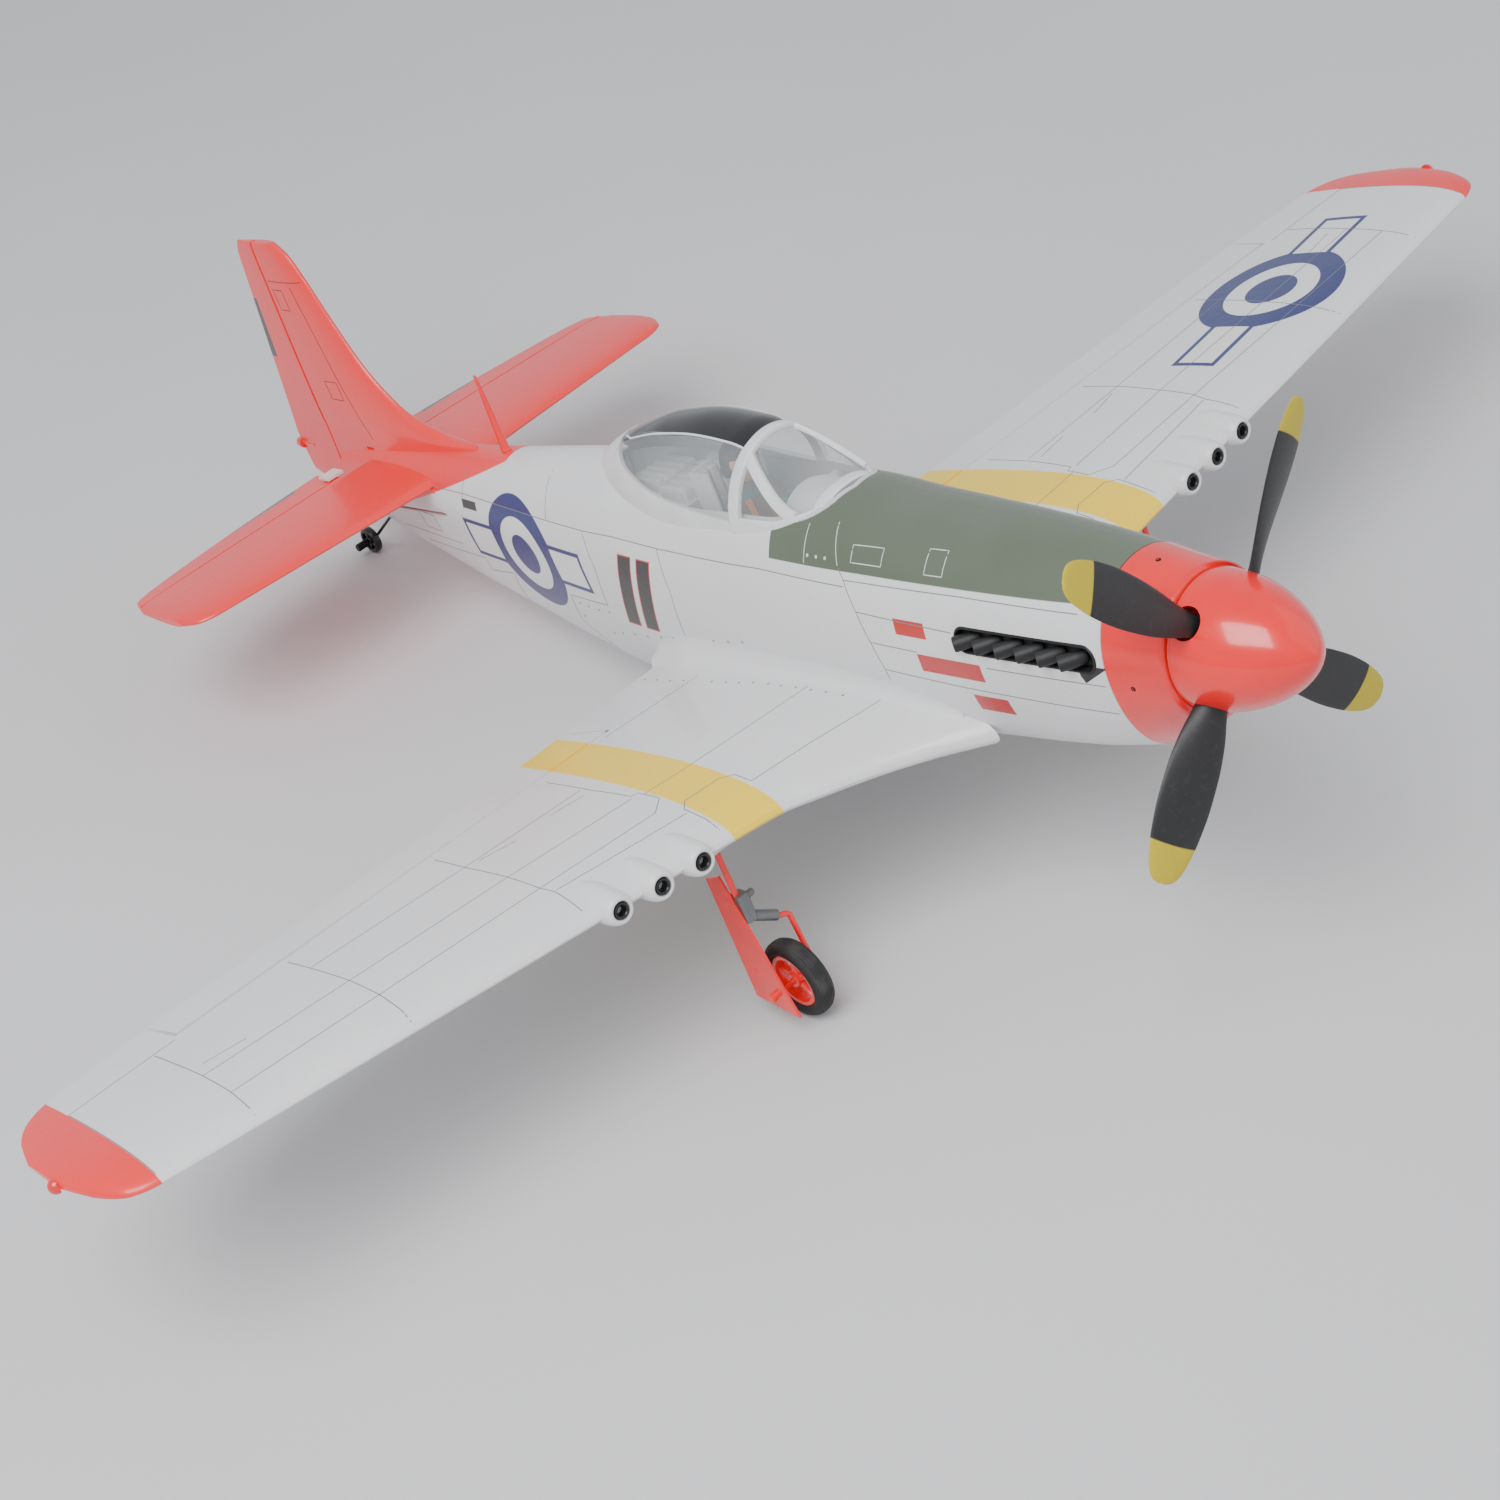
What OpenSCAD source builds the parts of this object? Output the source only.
// Foam radio-control low-wing fighter, standing on its two main wheels and its tail wheel.
// Everything is drawn level, with the spinner tip at the origin, the nose towards -Y and the
// port wing towards +X. stance() then sets the finished aeroplane down on its three wheels.

/* [Wing] */
// Span over the wingtip lights
span = 756; // [752:1:760]
// Wing dihedral, in degrees
dihedral = 4.73; // [4.5:0.01:4.9]
// Wing thickness as a share of the chord
wing_thick = 0.115; // [0.11:0.005:0.125]

/* [Fuselage] */
// Foam wall thickness
wall = 6; // [5:0.5:7]

/* [Propeller] */
// Propeller radius
prop_r = 83.6; // [80:0.2:84]
// Number of blades
blades = 4; // [2:1:4]
// Spinner radius at its base
spinner_r = 24.3; // [23.5:0.1:24.5]
// Angle of the first blade above the port side, in degrees
blade_start = 44.5; // [40:0.5:50]

/* [Landing gear] */
// Main wheel radius
wheel_r = 16.5; // [16:0.5:17]
// Width of a main tyre
tyre_w = 9; // [8:0.5:9]
// Tail wheel radius
tail_wheel_r = 7; // [6.5:0.1:7.5]

/* [Hidden] */
$fn = 48;
gap = 0.6;            // running gap round a foam control surface
end_gap = 1.4;        // gap at each end of an aileron, whose hinge line slopes
bay_ahead = -1;       // front of the wing's aileron bay, from the hinge line
flap_front = 0.9;     // front of the aileron itself, from the hinge line
nose_past = -0.7;     // how far the wing's nose groove runs past the bay at each end
fin_back = -1.4;      // back of the fin, from the rudder hinge line
rudder_front = 0.8;   // front of the rudder behind its nose, from the hinge line
free = 0.35;          // gap between bodies that only pass each other
far = 900;            // longer than anything here, for cutting blocks
ring_points = 32;     // points round a fuselage section
foam = "gainsboro";
tail_red = "red";

// ---- Stance: from the level drawing to rest on three wheels ----
main_axle = [110, 198, -110];
tail_axle = [0, 629, -42];
axle_run = norm([tail_axle.y - main_axle.y, tail_axle.z - main_axle.z]);
pitch = atan2(tail_axle.z - main_axle.z, tail_axle.y - main_axle.y)
    + asin((wheel_r - tail_wheel_r) / axle_run);
light_end = [658, 12];  // rear of the tail light: y, z
rest_y = -(light_end[0] * cos(pitch) + light_end[1] * sin(pitch)) / 2;
rest_z = wheel_r + main_axle.y * sin(pitch) - main_axle.z * cos(pitch);

module stance() translate([0, rest_y, rest_z]) rotate([-pitch, 0, 0]) children();
module both() {
    children();
    mirror([1, 0, 0]) children();
}
module port() children();
module starboard() mirror([1, 0, 0]) children();
// Turns Z to point aft, along +Y
module aft() rotate([-90, 0, 0]) children();
// Turns Z to point to port, along +X
module abeam() rotate([0, 90, 0]) children();
// Block with round vertical edges, centred over its base
module slab(size, r) linear_extrude(size.z) hull()
    for (x = [-1, 1], y = [-1, 1])
        translate([x * (size.x / 2 - r), y * (size.y / 2 - r)]) circle(r, $fn = 24);
module rod(from, to, r) let (d = to - from)
    translate(from) rotate([0, acos(d.z / norm(d)), atan2(d.y, d.x)]) cylinder(r = r, h = norm(d));

// Closed solid through a list of rings, each bay the hull of its two rings
module skin(rings) for (i = [0:len(rings) - 2]) hull()
    polyhedron(concat(rings[i], rings[i + 1]), [[for (j = [0:2 * len(rings[i]) - 1]) j]]);

// ---- Fuselage ----
// Rows: y, half width, height of the widest place, top, bottom, squareness
ring_rows = [[44, 25.7, -0.3, 25.8, -29, 2.0], [56, 27, -1.5, 27.5, -38, 2.0],
    [70, 28.2, -2.5, 29.5, -44.5, 2.05]];
fuselage_rows = [
    [70, 28.2, -2.5, 29.5, -44.5, 2.05], [100, 30.2, -4, 32, -50, 2.2],
    [140, 32.2, -6, 34.5, -54, 2.3], [180, 33.5, -8, 36, -57, 2.4],
    [215, 34, -9, 39, -58, 2.4], [260, 33.5, -9, 39.5, -60, 2.4],
    [300, 32, -8, 40, -66, 2.2], [345, 30, -7, 38, -75, 2.1],
    [385, 27.5, -6, 35, -73, 2.0], [420, 24.5, -4, 31.5, -67, 2.0],
    [460, 21, -1, 27.5, -58, 2.0], [500, 17.5, 1, 25, -49, 2.0],
    [540, 13.5, 3, 22, -39, 2.0], [580, 9.5, 4.5, 18, -28, 2.0],
    [610, 6.2, 4.5, 13, -17, 2.0]];
cavity_rows = [for (r = fuselage_rows) if (r[0] <= 540) r];

function power(v, e) = sign(v) * pow(abs(v), 2 / e);
// One ring of the fuselage, drawn in by inset
function hull_ring(r, inset) = [for (j = [0:ring_points - 1])
    let (a = 360 * j / ring_points, s = sin(a))
    [(r[1] - inset) * power(cos(a), r[5]), r[0],
        r[2] + ((s >= 0 ? r[3] - r[2] : r[2] - r[4]) - inset) * power(s, r[5])]];
module loft(inset = 0, rows = fuselage_rows) skin([for (r = rows) hull_ring(r, inset)]);

// Vertical prism over the canopy hatch's footprint, drawn in by inset
hatch_side = [[13, 212], [20, 224], [23, 246], [23.5, 280], [22, 310], [17, 335], [9, 354]];
module hatch_well(inset, low) translate([0, 0, low]) linear_extrude(90)
    offset(delta = -inset) polygon(concat([[0, 209]], hatch_side, [[0, 362]],
        [for (i = [len(hatch_side) - 1:-1:0]) [-hatch_side[i][0], hatch_side[i][1]]]));
hatch_floor = -8;

module fuselage_foam() difference() {
    loft();
    loft(wall, cavity_rows);
    // Motor bay behind the cowl ring
    translate([0, 60, 0]) aft() cylinder(r = 21, h = 24.9);
    hatch_well(0, hatch_floor);
    both() wing_blank(0.05);
    both() spar_side(spar_r + 0.05, -2);
    both() tray_pocket(0.05, 0);
    both() stabiliser_blank(0.05);
    // Elevator joiner, rudder nose and tail leg
    translate([-far / 2, elevator_axis[0], elevator_axis[1]]) abeam()
        cylinder(r = 3.2, h = far);
    rudder_nose(gap, 0);
    translate([0, leg_pivot[0], -60]) cylinder(r = 1.9, h = 52);
    // Intake in the belly
    hull() for (x = [-11, 11], z = [-62, -74])
        translate([x, 290, z]) aft() cylinder(r = 3, h = 24, $fn = 16);
    translate([0, mast_y, 20]) cylinder(r = 1.6, h = 20);
    rod(elevator_rod[0], elevator_rod[1], 1.7);
    rod(rudder_rod[0], rudder_rod[1], 1.7);
}
module fuselage_left() color(foam) stance() intersection() {
    fuselage_foam();
    translate([0, 0, -far / 2]) cube(far);
}
module fuselage_right() color(foam) stance() intersection() {
    fuselage_foam();
    translate([-far, 0, -far / 2]) cube(far);
}

// ---- Wing ----
// Rows: x, leading edge y, trailing edge y, with the rounded tip in the last three
tip_x = span / 2 - 3;
wing_rows = [
    [26, 142, 342.5], [43, 156, 339.8], [63, 168.5, 336.2], [82, 177.5, 332.7],
    [98, 183.8, 329.8], [121, 186, 325.6], [210, 192.5, 314.6], [308, 199.9, 302.4],
    [340, 202.3, 296.4], [354, 203.6, 293.2], [363, 207, 288], [370, 218, 278.5],
    [tip_x, 237, 262]];
root_z = -46.3;      // height of the chord line where it meets the centre line
face_points = 9;     // points along each face of a wing section
edge = 0.35;         // half the trailing edge's thickness

function wing_z(x) = root_z + x * tan(dihedral);
// Half thickness of a streamlined section at share t of its chord, 1 where it is thickest
function bulge(t) = 2.97 * sqrt(t) - 1.26 * t - 3.52 * pow(t, 2) + 2.84 * pow(t, 3) - 1.02 * pow(t, 4);
// Share of the chord at point i, closer together at both edges
function share(i) = (1 - cos(180 * i / face_points)) / 2;
function wing_ring(r, grow) = let (c = r[2] - r[1] + 2 * grow,
        t = wing_thick * c * (1 - 0.18 * r[0] / tip_x) + 2 * grow)
    concat([for (i = [0:face_points]) [r[0], r[1] - grow + c * share(i),
            wing_z(r[0]) + 0.62 * t * bulge(share(i)) + edge * share(i)]],
        [for (i = [face_points:-1:1]) [r[0], r[1] - grow + c * share(i),
            wing_z(r[0]) - 0.38 * t * bulge(share(i)) - edge * share(i)]]);
module wing_blank(grow = 0) skin([for (r = wing_rows) wing_ring(r, grow)]);

// Aileron hinge line, from its inboard to its outboard end
hinge_in = [86.5, 305.4, wing_z(86.5) + 0.8];
hinge_out = [305.6, 280.7, wing_z(305.6) + 0.5];
nose_in = 2.6;       // aileron nose radius at its inboard end
nose_out = 1.6;      // and at its outboard end
hinge_run = hinge_out - hinge_in;
module at_aileron_hinge() translate(hinge_in)
    rotate([0, acos(hinge_run.z / norm(hinge_run)), atan2(hinge_run.y, hinge_run.x)]) children();
// Nose cone round the hinge line, grown by more and drawn in at both ends by inset
module aileron_nose(more, inset) at_aileron_hinge() translate([0, 0, inset])
    cylinder(r1 = nose_in + more, r2 = nose_out + more, h = norm(hinge_run) - 2 * inset, $fn = 32);
// The space from back behind the hinge line, between the aileron's ends, drawn in by inset
module aileron_bay(inset, back) translate([0, 0, -far / 2]) linear_extrude(far)
    polygon([[hinge_in.x + inset, hinge_in.y + back], [hinge_out.x - inset, hinge_out.y + back],
        [hinge_out.x + 5 - inset, 320], [hinge_in.x + 12 + inset, 350]]);

spar_r = 3;
spar_y = 232;
spar_half = 250;
spar_z = wing_z(0) + 3.6;
module spar_side(r, from) translate([0, spar_y, spar_z]) rotate([0, 90 - dihedral, 0])
    translate([0, 0, from]) cylinder(r = r, h = spar_half - from);

module wing_half() difference() {
    union() {
        wing_blank();
        for (g = guns) gun_bulge(g);
    }
    aileron_bay(0, bay_ahead);
    aileron_nose(gap, nose_past);
    for (g = guns) gun_bore(g);
    spar_side(spar_r + 0.05, -2);
    servo_bay();
    gear_block(0.05);
    aileron_strips(0.02);
}
module wing_left() color(foam) stance() port() wing_half();
module wing_right() color(foam) stance() starboard() wing_half();
module wing_spar() color("#202020") stance() {
    intersection() {
        spar_side(spar_r, -2);
        translate([0, 0, -far / 2]) cube(far);
    }
    mirror([1, 0, 0]) intersection() {
        spar_side(spar_r, -2);
        translate([0, 0, -far / 2]) cube(far);
    }
}
module wingtip_lights() color(tail_red) stance() both()
    translate([tip_x, 240, wing_z(tip_x)]) abeam() rotate_extrude()
        polygon(concat([[0, 0]], [for (a = [0:15:90]) [3 * cos(a), 3 * sin(a)]]));

// ---- Guns ----
guns = [[136, 183.2, -34.4], [154, 184.7, -33.1], [172, 186, -31.4]];
gun_r = 3.35;
module gun_bulge(g) {
    hull() {
        translate(g + [0, 2, 0]) aft() cylinder(r = 4.6, h = 1, $fn = 24);
        translate(g + [0, 9, 0]) aft() cylinder(r = 6.6, h = 4, $fn = 24);
    }
    hull() {
        translate(g + [0, 12, 0]) aft() cylinder(r = 6.6, h = 1, $fn = 24);
        translate(g + [0, 36, 2]) aft() cylinder(r = 3, h = 1, $fn = 16);
    }
}
module gun_bore(g) translate(g + [0, -2, 0]) aft() cylinder(r = gun_r + 0.05, h = 15.3);
module gun_muzzles() color("#1c1c1c") stance() both() for (g = guns)
    translate(g) aft() difference() {
        cylinder(r = gun_r, h = 13);
        translate([0, 0, -1]) cylinder(r = 1.9, h = 7);
    }

// ---- Nose ----
module cowl_ring() color(tail_red) stance() difference() {
    loft(0, ring_rows);
    loft(2, [[47, 26, -0.6, 26.2, -31, 2.0], ring_rows[1], [71, 28.2, -2.5, 29.5, -44.5, 2.05]]);
    translate([0, 40, 0]) aft() cylinder(r = 21, h = 20);
    screws(0.02);
}
screw_turns = [90, 185, 270, 355];
module screws(more) for (a = screw_turns) translate([0, 60, -4]) rotate([0, -a, 0])
    translate([20, 0, 0]) abeam() cylinder(r = 1 + more, h = 26);
module cowl_screws() color("#202020") stance() intersection() {
    screws(0);
    difference() {
        loft(-0.2, ring_rows);
        loft(2.4, ring_rows);
    }
}

// Exhaust tray: the pocket's own outline, drawn in by inset and grown by more
tray_front = 73;
tray_back = 140;
module tray_pocket(more, inset) hull() for (y = [tray_front + 5.5, tray_back - 5.5])
    translate([24, y, 2.6]) abeam() cylinder(r = 5.5 + more - inset, h = 20);
module exhaust_trays() color("#181818") stance() both() difference() {
    intersection() {
        tray_pocket(0, 0);
        loft();
    }
    loft(4.6);
    difference() {
        tray_pocket(0, 1.2);
        loft(3.4);
    }
}
stubs = 6;
module exhaust_stubs() color("#242424") stance() both() difference() {
    for (i = [0:stubs - 1]) translate([26 + 0.35 * i, 80 + 10.2 * i, 2.6])
        rotate([0, 0, -50]) aft() difference() {
            cylinder(r = 2.9, h = 9.5, $fn = 16);
            translate([0, 0, 4]) cylinder(r = 2, h = 9, $fn = 16);
        }
    loft(3.4);
}

mast_y = 456;
module antenna_mast() color(tail_red) stance() translate([0, mast_y, 21]) {
    cylinder(r = 1.55, h = 7.2);
    translate([0, 0, 7.2]) cylinder(r1 = 2.4, r2 = 0.8, h = 37.3);
}

// ---- Tail ----
elevator_axis = [577, 12];
elevator_r = 2;
elevator_in = 24;    // where each elevator half begins
elevator_out = 142.5; // and where it ends
// Rows: x, leading edge y, trailing edge y, thickness
tail_rows = [[0, 506, 600.5, 8], [17, 508, 600.8, 8], [60, 512.4, 598.4, 7.4],
    [117, 518, 591.6, 6.4], [132, 519.5, 588.5, 6], [140, 523, 585, 5], [145, 532, 570, 3]];
module stabiliser_blank(grow = 0) skin([for (r = tail_rows)
    let (c = r[2] - r[1] + 2 * grow, t = r[3] / 2 + grow)
    concat([for (i = [0:face_points]) [r[0], r[1] - grow + c * share(i),
            elevator_axis[1] + t * bulge(share(i)) + edge * share(i)]],
        [for (i = [face_points:-1:1]) [r[0], r[1] - grow + c * share(i),
            elevator_axis[1] - t * bulge(share(i)) - edge * share(i)]])]);
elevator_taper = 0.7; // loss of nose radius along each elevator half
module elevator_nose(more, inset) translate([elevator_in + inset, elevator_axis[0], elevator_axis[1]])
    abeam() cylinder(r1 = elevator_r + more, r2 = elevator_r - elevator_taper + more,
        h = elevator_out - elevator_in - 2 * inset);
module behind_elevator_axis(from, to) translate([from, elevator_axis[0], -far / 2])
    cube([to - from, far, far]);
module stabiliser() color(tail_red) stance() difference() {
    both() stabiliser_blank();
    both() elevator_nose(gap, 0);
    both() behind_elevator_axis(elevator_in, elevator_out);
    translate([-elevator_in - 1, elevator_axis[0] - 4, -far / 2])
        cube([2 * elevator_in + 2, far, far]);
    both() elevator_strips(0.02);
}
module elevator_half() difference() {
    union() {
        intersection() {
            stabiliser_blank();
            behind_elevator_axis(elevator_in + gap, elevator_out - gap);
        }
        elevator_nose(0, gap);
    }
    joiner_shape(0.02);
}
module elevator_left() color(tail_red) stance() port() elevator_half();
module elevator_right() color(tail_red) stance() starboard() elevator_half();
module joiner_shape(more) translate([-34, elevator_axis[0], elevator_axis[1]]) abeam()
    cylinder(r = 1.2 + more, h = 68);
module elevator_joiner() color("silver") stance() joiner_shape(0);

// Rows: height, leading edge y, trailing edge y, half thickness
fin_rows = [[-8, 560, 638, 3.6], [-2, 540, 653, 4], [16, 480, 653.7, 4.3], [27, 481, 651, 4.4],
    [30, 503, 650.3, 4.4], [38, 530, 648.2, 4.3], [48, 543, 645.6, 4.1], [61, 554, 642.3, 3.9],
    [84, 565, 636.3, 3.5], [107, 574, 630.4, 3.1], [118, 579.5, 627.5, 2.8], [125, 588, 623, 2.2]];
rudder_low = [616.6, -9];   // y, z on the rudder's hinge line
rudder_high = [607.3, 126];
rudder_run = rudder_high - rudder_low;
rudder_lean = atan2(rudder_run[0], rudder_run[1]);
function rudder_hinge(z) = rudder_low[0] + (z - rudder_low[1]) * rudder_run[0] / rudder_run[1];
module fin_blank() skin([for (r = fin_rows)
    let (c = r[2] - r[1])
    concat([for (i = [0:face_points]) [r[3] * bulge(share(i)) + edge * share(i),
            r[1] + c * share(i), r[0]]],
        [for (i = [face_points:-1:1]) [-r[3] * bulge(share(i)) - edge * share(i),
            r[1] + c * share(i), r[0]]])]);
rudder_r = 2.1;       // rudder nose radius at its foot
rudder_taper = 0.8;   // and its loss by the top
rudder_foot = -8;
rudder_len = 133.5;
module rudder_nose(more, inset) translate([0, rudder_hinge(rudder_foot + inset), rudder_foot + inset])
    rotate([-rudder_lean, 0, 0]) cylinder(r1 = rudder_r + more, r2 = rudder_r - rudder_taper + more,
        h = rudder_len - 2 * inset);
module behind_rudder_hinge(back) translate([-far / 2, back, 0]) rotate([90, 0, 90])
    linear_extrude(far) polygon([[rudder_hinge(-60), -60], [rudder_hinge(140), 140],
        [far, 140], [far, -60]]);
module fin() color(tail_red) stance() difference() {
    fin_blank();
    loft();
    behind_rudder_hinge(fin_back);
    rudder_nose(gap, -30);
    both() stabiliser_blank(0.05);
    // Everything below the fuselage's end
    translate([-far / 2, 0, -far - 2]) cube(far);
    translate([-far / 2, elevator_axis[0] - 4, elevator_axis[1] - 7]) cube([far, 7.2, 14]);
    rudder_strips(0.02);
}
module rudder() color(tail_red) stance() difference() {
    union() {
        intersection() {
            fin_blank();
            behind_rudder_hinge(rudder_front);
        }
        intersection() {
            rudder_nose(0, 0.2);
            translate([-far / 2, 0, rudder_foot]) cube([far, far, rudder_len - 0.5]);
        }
    }
    translate([0, 640, 12]) aft() cylinder(r = 1.55, h = 12);
    translate([0, 651.6, 12]) aft() cylinder(r = 3.1, h = 9);
}
module tail_light() color(tail_red) stance() translate([0, 640, 12]) aft() {
    cylinder(r = 1.5, h = 12);
    translate([0, 0, 12.2]) rotate_extrude()
        polygon(concat([[0, 0]], [for (a = [0:15:90]) [2.9 * cos(a), 3 + 2.8 * sin(a)]], [[0, 5.8]]));
    translate([0, 0, 11.9]) cylinder(r = 2.9, h = 3.4);
}

// ---- Canopy hatch: tub, frame, glass and pilot lift off together ----
// Rows: y, half width at the sill, sill height, top height
canopy_rows = [[214, 13, 33, 37], [226, 20, 29.5, 42.5], [238, 23, 26.5, 50], [249, 24.2, 25, 56.5],
    [263, 25, 24, 61.5], [285, 25, 23, 63], [310, 24, 24, 60.5], [335, 20.5, 26, 54],
    [355, 14.5, 30, 46], [370, 6, 34, 38.5]];
// A canopy ring is an arch over its sill with straight sides carried down below it
function canopy_ring(r, inset) = concat(
    [for (j = [0:16]) let (a = 180 * j / 16)
        [(r[1] - inset) * power(cos(a), 2.1), r[0],
            r[2] + max(r[3] - r[2] - inset, 0.5) * power(sin(a), 2.1)]],
    [[-(r[1] - inset), r[0], 10], [r[1] - inset, r[0], 10]]);
module canopy_loft(inset) skin([for (r = canopy_rows) canopy_ring(r, inset)]);
module canopy_shell() difference() {
    canopy_loft(0);
    canopy_loft(1.4);
    loft(-0.15);
}
// The painted frame's share of the shell: front arch, windscreen posts, sill band and tail
module frame_share() {
    translate([-40, 258, 0]) rotate([15, 0, 0]) cube([80, 5.5, 90]);
    for (k = [0, 1]) mirror([k, 0, 0]) hull() {
        translate([10, 254, 58]) sphere(r = 2, $fn = 12);
        translate([17, 214, 32]) sphere(r = 2, $fn = 12);
        translate([30, 214, 42]) sphere(r = 2, $fn = 12);
        translate([16, 254, 68]) sphere(r = 2, $fn = 12);
    }
    rotate([90, 0, 90]) translate([0, 0, -40]) linear_extrude(80)
        polygon([[205, 10], [205, 41], [219, 38], [238, 29], [262, 29], [290, 31], [318, 37],
            [340, 47], [352, 56], [380, 56], [380, 10]]);
}
module canopy_frame() color("white") stance() intersection() {
    canopy_shell();
    frame_share();
}
module canopy_glass() color("#303840", 0.4) stance() difference() {
    canopy_shell();
    frame_share();
}
// The cockpit tub drops into the hatch well with clearance all round
module cockpit_tub() color("lightgray") stance() difference() {
    intersection() {
        hatch_well(free, hatch_floor + 0.4);
        loft(0.1);
    }
    hatch_well(free + 2.2, hatch_floor + 3);
    magnet_discs(0.02, hatch_floor - 1.5);
}
module magnet_discs(more, z) for (y = [218, 345]) translate([0, y, z])
    cylinder(r = 3 + more, h = 4 + more);
module hatch_magnets() color("silver") stance() magnet_discs(0, hatch_floor - 1.6);

seat_y = 288;
module pilot() color("saddlebrown") stance() {
    // Seat
    translate([0, seat_y - 12, hatch_floor + 3]) slab([22, 24, 10], 3);
    translate([0, seat_y + 5, hatch_floor + 13]) slab([22, 5, 34], 2);
    // Torso, arms, head in helmet, goggles band
    hull() {
        translate([0, seat_y - 5, 7]) scale([1, 0.7, 0.5]) sphere(r = 9.5, $fn = 20);
        translate([0, seat_y - 5, 26]) scale([1, 0.6, 0.5]) sphere(r = 10.5, $fn = 20);
    }
    for (x = [-9, 9]) hull() {
        translate([x, seat_y - 6, 26]) sphere(r = 3.4, $fn = 14);
        translate([x * 0.8, seat_y - 20, 14]) sphere(r = 2.6, $fn = 14);
    }
    hull() {
        translate([0, seat_y - 6, 30]) sphere(r = 4, $fn = 14);
        translate([0, seat_y - 6, 42]) scale([0.9, 1, 1.05]) sphere(r = 8, $fn = 20);
    }
}

// ---- Power: motor, spinner and propeller ----
shaft_r = 1.5;
mount_y = 81.9;
module motor_mount() color("#303030") stance() translate([0, mount_y, 0]) aft() difference() {
    cylinder(r = 20.8, h = 3);
    for (a = [0:90:270]) rotate(a + 45) translate([15, 0, -1]) cylinder(r = 1.5, h = 5);
    translate([0, 0, -1]) cylinder(r = 3, h = 5);
}
module motor_stator() color("darkorange") stance() translate([0, 59.4, 0]) aft() difference() {
    union() {
        cylinder(r = 12.2, h = 17);
        translate([0, 0, 17]) cylinder(r = 9, h = mount_y - 76.4);
    }
    translate([0, 0, -1]) cylinder(r = shaft_r + 0.05, h = 40);
}
module motor_bell() color("#404448") stance() {
    translate([0, 56.8, 0]) aft() difference() {
        cylinder(r = 14, h = 19.5);
        translate([0, 0, 1.6]) cylinder(r = 12.8, h = 20);
    }
    translate([0, 30, 0]) aft() cylinder(r = shaft_r, h = 50);
}
spinner_len = 42;
spinner_wall = 1.4;
prop_y = 37.5;
blade_root_r = 5.4;
// Bullet outline: radius at distance s behind the tip, for a length and a base radius
function bullet(s, len, r) = r * pow(1 - pow(1 - s / len, 1.9), 0.62);
module bullet_solid(len, r) rotate_extrude() polygon(concat(
    [for (i = [0:14]) let (s = len * pow(i / 14, 1.6)) [bullet(s, len, r), s]], [[0, len]]));
module spinner() color(tail_red) stance() difference() {
    aft() bullet_solid(spinner_len, spinner_r);
    translate([0, spinner_wall * 1.6, 0]) aft()
        bullet_solid(spinner_len - spinner_wall * 1.6 + 0.01, spinner_r - spinner_wall);
    at_blades() cylinder(r = blade_root_r + 0.6, h = 40);
}
module spinner_backplate() color(tail_red) stance() translate([0, spinner_len, 0]) aft()
    difference() {
        cylinder(r = spinner_r, h = 1.3);
        translate([0, 0, -1]) cylinder(r = shaft_r, h = 4);
    }
// Moves its children out along each blade, with Z outwards
module at_blades() translate([0, prop_y, 0]) for (k = [0:blades - 1])
    rotate([0, 90 - blade_start - 360 * k / blades, 0]) children();
// Rows: share of the radius, chord, thickness, pitch angle
blade_rows = [[0.07, 8.4, 6.4, 52], [0.2, 9, 5.2, 46], [0.3, 12, 3.6, 38], [0.42, 16.6, 2.8, 30],
    [0.55, 19.4, 2.3, 24.5], [0.68, 20.2, 1.9, 20.5], [0.8, 19, 1.6, 17.5], [0.9, 16, 1.3, 15.5],
    [0.96, 12.4, 1.1, 14.5], [0.99, 8, 0.9, 14], [1, 4, 0.8, 14]];
module blade() skin([for (b = blade_rows) [for (j = [0:11]) let (a = 30 * j,
    u = b[1] / 2 * cos(a), v = b[2] / 2 * sin(a))
    [u * cos(b[3]) - v * sin(b[3]), u * sin(b[3]) + v * cos(b[3]), b[0] * prop_r]]]);
module propeller() color("#1e1e1e") stance() difference() {
    union() {
        at_blades() blade();
        translate([0, 31.5, 0]) aft() cylinder(r = 8.6, h = spinner_len - 31.5);
    }
    translate([0, 20, 0]) aft() cylinder(r = shaft_r, h = 40);
    translate([0, spinner_len, 0]) aft() cylinder(r = 20, h = 5);
}

// ---- Inside the fuselage ----
module battery() color("royalblue") stance()
    translate([0, 145, -30]) slab([31, 72, 17], 3);
module speed_controller() color("black") stance() translate([0, 112, -8]) slab([22, 34, 7], 1);
module receiver() color("darkslategray") stance() translate([0, 262, -29]) slab([21, 32, 11], 1.5);

// ---- Servos, arms, pushrods and horns ----
servo_x = 191;
servo_y = 256;
servo_z = wing_z(servo_x) + 0.1;
arm_r = 11;           // aileron servo arm and aileron horn
arm_x = 177;          // plane in which both work
tail_servo_y = 382;
tail_servo_x = 13.5;
tail_arm_z = -9.5;
tail_arm_r = 8.5;
elevator_horn_x = -22;
elevator_horn_r = 10;
rudder_horn_z = 3.2;
rudder_horn_r = 11.5;
elevator_rod = [[-tail_servo_x + tail_arm_r, tail_servo_y, tail_arm_z + 2.6],
    [elevator_horn_x - 2.1, elevator_axis[0], elevator_axis[1] - elevator_horn_r]];
rudder_rod = [[tail_servo_x - tail_arm_r, tail_servo_y, tail_arm_z + 2.6],
    [rudder_horn_r, rudder_hinge(rudder_horn_z), rudder_horn_z + 2.2]];
rod_r = 0.6;

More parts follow.
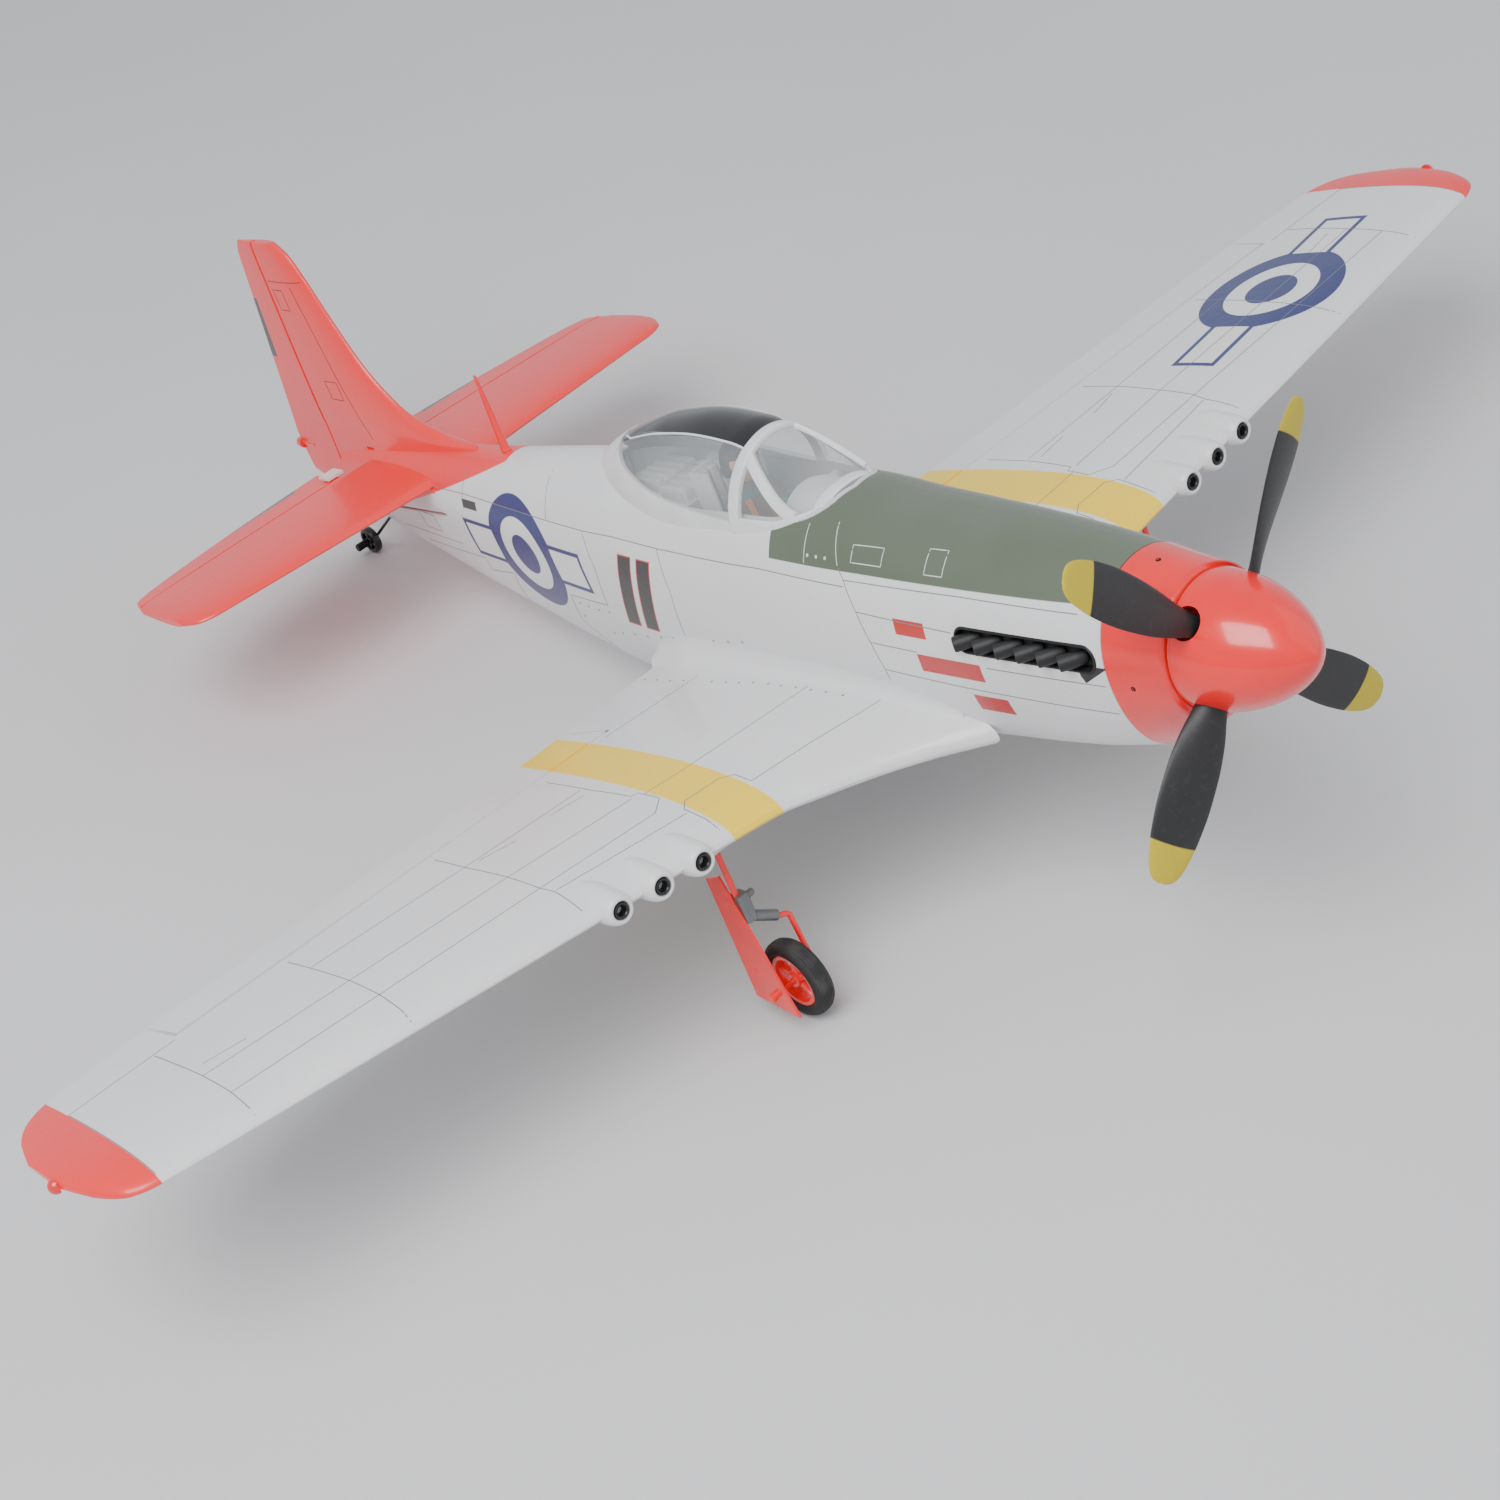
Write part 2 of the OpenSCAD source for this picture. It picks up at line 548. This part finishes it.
module aileron_servo(more) translate([servo_x, servo_y, servo_z - 4.2 - more])
    slab([20 + 2 * more, 20 + 2 * more, 8.4 + more], 1);
module servo_bay() {
    aileron_servo(0.1);
    translate([servo_x, servo_y, servo_z - 24]) slab([20.2, 20.2, 24], 1);
    translate([arm_x + 1.5, servo_y - 2, servo_z - 24]) slab([9, 26, 28], 2);
}
module tail_servo() difference() {
    union() {
        translate([tail_servo_x, tail_servo_y - 5, tail_arm_z - 24]) slab([9, 21, 20], 1);
        translate([tail_servo_x, tail_servo_y - 5, tail_arm_z - 11]) slab([9, 29, 1.5], 1);
        translate([tail_servo_x, tail_servo_y, tail_arm_z - 4.5]) cylinder(r = 4, h = 2.5);
        translate([tail_servo_x, tail_servo_y, tail_arm_z - 2]) cylinder(r = 1.5, h = 3);
    }
    for (y = [-12.8, 12.8]) translate([tail_servo_x, tail_servo_y - 5 + y, tail_arm_z - 15])
        cylinder(r = 0.9, h = 9);
}
module servos() color("#2848b0") stance() both() {
    tail_servo();
    aileron_servo(0);
    translate([servo_x - 10.6, servo_y, servo_z]) abeam() cylinder(r = 3, h = 0.7);
    translate([arm_x, servo_y, servo_z]) abeam() cylinder(r = 1.2, h = servo_x - 10 - arm_x);
}
// Flat arm along Z from its shaft bore to its tip, with one free hole
module arm(r, bore) difference() {
    union() {
        cylinder(r = 2.9, h = 1.4);
        translate([-1.6, 0, 0]) cube([3.2, r, 1.4]);
        translate([0, r, 0]) cylinder(r = 1.9, h = 1.4);
    }
    translate([0, 0, -1]) cylinder(r = bore + 0.05, h = 4);
    translate([0, r, -1]) cylinder(r = 0.7, h = 4);
}
module aileron_arm() translate([arm_x, servo_y, servo_z]) rotate([-90, 0, -90]) arm(arm_r, 1.2);
module servo_arm_left() color("white") stance() port() aileron_arm();
module servo_arm_right() color("white") stance() starboard() aileron_arm();
module tail_arm() translate([tail_servo_x, tail_servo_y, tail_arm_z]) rotate(90)
    arm(tail_arm_r, 1.5);
module servo_arm_elevator() color("white") stance() starboard() tail_arm();
module servo_arm_rudder() color("white") stance() port() tail_arm();
horn_at = (arm_x - hinge_in.x) / hinge_run.x;
horn_point = hinge_in + horn_at * hinge_run;
module aileron_rod() rod([arm_x + 2.8, servo_y - 2, servo_z - arm_r],
    [arm_x + 2.8, horn_point.y + 2, servo_z - arm_r], rod_r);
module pushrod_left() color("silver") stance() port() aileron_rod();
module pushrod_right() color("silver") stance() starboard() aileron_rod();
module pushrod_elevator() color("silver") stance() rod(elevator_rod[0], elevator_rod[1], rod_r);
module pushrod_rudder() color("silver") stance() rod(rudder_rod[0], rudder_rod[1], rod_r);

// Aileron horn: a blade under the foam and a peg up into it
module horn_blade(width, drop) rotate([90, 0, 90]) linear_extrude(1.4) difference() {
    polygon([[0, 0], [width, 0], [2.4, -drop - 2], [-1.6, -drop - 2]]);
    translate([0.2, -drop]) circle(r = 0.7);
}
module aileron_horn(more) translate(horn_point) {
    translate([-more, 0, -3.2]) horn_blade(10, arm_r - 3.2);
    translate([-3, 2.5, -2.4 - more]) cube([7.4 + more, 6 + more, 1.6 + more]);
}
module aileron_half() difference() {
    union() {
        intersection() {
            wing_blank();
            aileron_bay(end_gap, flap_front);
        }
        aileron_nose(0, end_gap + 0.2);
    }
    aileron_horn(0.02);
}
module aileron_left() color(foam) stance() port() aileron_half();
module aileron_right() color(foam) stance() starboard() aileron_half();
module aileron_horn_left() color("white") stance() port() aileron_horn(0);
module aileron_horn_right() color("white") stance() starboard() aileron_horn(0);

module elevator_horn() color("white") stance() difference() {
    translate([elevator_horn_x, elevator_axis[0], elevator_axis[1]]) {
        translate([-0.7, 0.4, -3]) horn_blade(10, elevator_horn_r - 3);
        translate([-8, 1.5, 2.7]) cube([9, 9, 1.3]);
        translate([-1.6, 2.6, -3]) cube([2.2, 6, 6]);
    }
    both() stabiliser_blank(0.02);
}
module rudder_horn() color("white") stance() difference() {
    translate([0, rudder_hinge(rudder_horn_z), rudder_horn_z])
        linear_extrude(1.3) difference() {
            polygon([[1, 1.8], [1, 11], [rudder_horn_r + 2, 1.6], [rudder_horn_r + 2, -1.6],
                [rudder_horn_r - 2, -1.6], [6, 1.8]]);
            translate([rudder_horn_r, 0]) circle(r = 0.7);
        }
    fin_blank();
    rudder_nose(gap + 0.2, -10);
}

// ---- Hinge strips, each let into its foam and ending at the gap ----
strip = [8, 6, 0.6];
aileron_strip_x = [127, 147, 168, 240, 285];
module aileron_strips(more) for (x = aileron_strip_x) let (s = (x - hinge_in.x) / hinge_run.x)
    translate(hinge_in + s * hinge_run) rotate([0, -dihedral, -6.4])
        translate([-strip.x / 2 - more, -strip.y - nose_in + s * (nose_in - nose_out) - free,
            -strip.z / 2 - more]) cube(strip + [2 * more, 0, 2 * more]);
module aileron_hinges() color("#181818") stance() both() aileron_strips(0);
elevator_strip_x = [44, 84, 124];
rudder_strip_z = [36, 72, 106];
module elevator_strips(more) for (x = elevator_strip_x)
    let (s = (x - elevator_in) / (elevator_out - elevator_in))
    translate([x - strip.x / 2 - more,
        elevator_axis[0] - strip.y - elevator_r + s * elevator_taper - free,
        elevator_axis[1] - strip.z / 2 - more]) cube(strip + [2 * more, 0, 2 * more]);
module rudder_strips(more) for (z = rudder_strip_z)
    translate([-strip.z / 2 - more, rudder_hinge(z + strip.x) - strip.y - rudder_r
        + rudder_taper * (z - rudder_foot) / rudder_len - free, z - more])
        cube([strip.z + 2 * more, strip.y, strip.x + 2 * more]);
module tail_hinges() color("#181818") stance() {
    both() elevator_strips(0);
    rudder_strips(0);
}

// ---- Main gear ----
leg_x = 120;
leg_top = [leg_x, 202, -36];
leg_low = [leg_x, 200, -76];
axle_r = 1.25;
fork = [[110, 198.6, -82], [103.4, 198.4, -84.5], [101.6, 198, -110]];
door_x = 121.3;
door_t = 1.2;
nub_r = 1.65;
nub_len = 2.6;
module gear_block(more) translate([leg_x, 203, -42 - more])
    slab([16 + 2 * more, 18 + 2 * more, 8.5 + 2 * more], 2);
module gear_blocks() color("#e8e8e8") stance() both() difference() {
    gear_block(0);
    rod(leg_top, leg_low, axle_r);
}
module fork_wire() {
    rod(fork[0], fork[1], 1.1);
    translate(fork[1]) sphere(r = 1.3);
    rod(fork[1], fork[2], 1.1);
    translate(fork[2]) sphere(r = axle_r * 1.15);
    translate([fork[2].x, main_axle.y, main_axle.z]) abeam()
        cylinder(r = axle_r, h = door_x - fork[2].x);
}
module gear_legs() color(tail_red) stance() both() {
    rod(leg_top, leg_low, axle_r);
    fork_wire();
}
module gear_links() color("#606468") stance() both() difference() {
    union() {
        translate([leg_x - 1.2, 200.4, -77]) slab([5, 6.4, 12], 1);
        rod([leg_x - 1.4, 200.2, -75.5], [108, 198.8, -82.4], 2.3);
        translate([leg_x - 2, 200.3, -68]) rotate([0, -90, 0]) cylinder(r = 1.5, h = 5.6);
    }
    rod(leg_top, leg_low, axle_r);
    rod(fork[0], fork[1], 1.1);
}
module gear_doors() color(tail_red) stance() both() {
    difference() {
        translate([door_x, 0, 0]) rotate([90, 0, 90]) linear_extrude(door_t)
            polygon([[203.7, -56], [212.7, -59], [211.6, -114.6], [187.4, -117.6], [195.4, -86]]);
        rod(leg_top, leg_low, axle_r);
    }
    translate([door_x + door_t, main_axle.y, main_axle.z]) abeam()
        cylinder(r = nub_r, h = nub_len);
}
hub_bore = axle_r + 0.05;
rim_r = 11.4;
rim_w = 6.6;
spokes = 5;
module wheel_at() translate([main_axle.x, main_axle.y, main_axle.z]) abeam() children();
module tyre() rotate_extrude() intersection() {
    translate([rim_r, -tyre_w / 2]) square([wheel_r - rim_r, tyre_w]);
    translate([wheel_r - tyre_w * 0.52, 0]) scale([0.52, 0.5]) circle(r = tyre_w);
}
module hub() difference() {
    union() {
        translate([0, 0, -rim_w / 2]) difference() {
            cylinder(r = rim_r, h = rim_w);
            translate([0, 0, -1]) cylinder(r = rim_r - 1.8, h = rim_w + 2);
        }
        translate([0, 0, -rim_w / 2]) cylinder(r = 3, h = rim_w);
        for (k = [0:spokes - 1]) rotate(360 * k / spokes)
            translate([2, -1.1, -1.4]) cube([rim_r - 3, 2.2, 2.8]);
    }
    translate([0, 0, -rim_w]) cylinder(r = hub_bore, h = 2 * rim_w);
}
module tyre_left() color("#202020") stance() port() wheel_at() tyre();
module tyre_right() color("#202020") stance() starboard() wheel_at() tyre();
module hub_left() color(tail_red) stance() port() wheel_at() hub();
module hub_right() color(tail_red) stance() starboard() wheel_at() hub();

// ---- Tail gear ----
leg_pivot = [596, -24];   // y, z where the steering wire leaves the fuselage
leg_side = 3.4;
tail_wire_r = 0.8;
collar_r = 2;
collar_len = 6.6;
tail_wheel_w = 4;
module tail_leg() color("#303030") stance() {
    translate([0, leg_pivot[0], leg_pivot[1]]) cylinder(r = tail_wire_r, h = 15);
    translate([0, leg_pivot[0], leg_pivot[1]]) sphere(r = tail_wire_r * 1.2);
    rod([0, leg_pivot[0], leg_pivot[1]], [leg_side, tail_axle.y, tail_axle.z], tail_wire_r);
    translate([leg_side, tail_axle.y, tail_axle.z]) sphere(r = tail_wire_r * 1.2);
    translate([-tail_wheel_w / 2 - free - 1, tail_axle.y, tail_axle.z]) abeam()
        cylinder(r = tail_wire_r, h = leg_side + tail_wheel_w / 2 + free + 1);
    translate([-tail_wheel_w / 2 - free, tail_axle.y, tail_axle.z]) rotate([0, -90, 0])
        cylinder(r = collar_r, h = collar_len);
}
module tail_wheel() color("#202020") stance()
    translate([-tail_wheel_w / 2, tail_axle.y, tail_axle.z]) abeam() difference() {
        union() {
            difference() {
                cylinder(r = tail_wheel_r, h = tail_wheel_w);
                translate([0, 0, -1]) cylinder(r = tail_wheel_r - 2.2, h = tail_wheel_w + 2);
            }
            cylinder(r = 2.2, h = tail_wheel_w);
            for (k = [0:4]) rotate(72 * k) translate([1.5, -0.7, 0.8])
                cube([tail_wheel_r - 3, 1.4, tail_wheel_w - 1.6]);
        }
        translate([0, 0, -1]) cylinder(r = tail_wire_r + 0.05, h = tail_wheel_w + 2);
    }

fuselage_left();
fuselage_right();
wing_left();
wing_right();
wing_spar();
wingtip_lights();
gun_muzzles();
cowl_ring();
cowl_screws();
exhaust_stubs();
exhaust_trays();
antenna_mast();
stabiliser();
fin();
motor_mount();
motor_stator();
battery();
speed_controller();
receiver();
servos();
gear_blocks();
gear_legs();
gear_links();
gear_doors();
aileron_hinges();
tail_hinges();
hatch_magnets();
cockpit_tub();
canopy_frame();
canopy_glass();
pilot();
spinner();
spinner_backplate();
propeller();
motor_bell();
aileron_left();
aileron_right();
aileron_horn_left();
aileron_horn_right();
elevator_left();
elevator_right();
elevator_joiner();
elevator_horn();
rudder();
rudder_horn();
tail_light();
tail_leg();
tail_wheel();
tyre_left();
hub_left();
tyre_right();
hub_right();
servo_arm_left();
servo_arm_right();
servo_arm_elevator();
servo_arm_rudder();
pushrod_left();
pushrod_right();
pushrod_elevator();
pushrod_rudder();
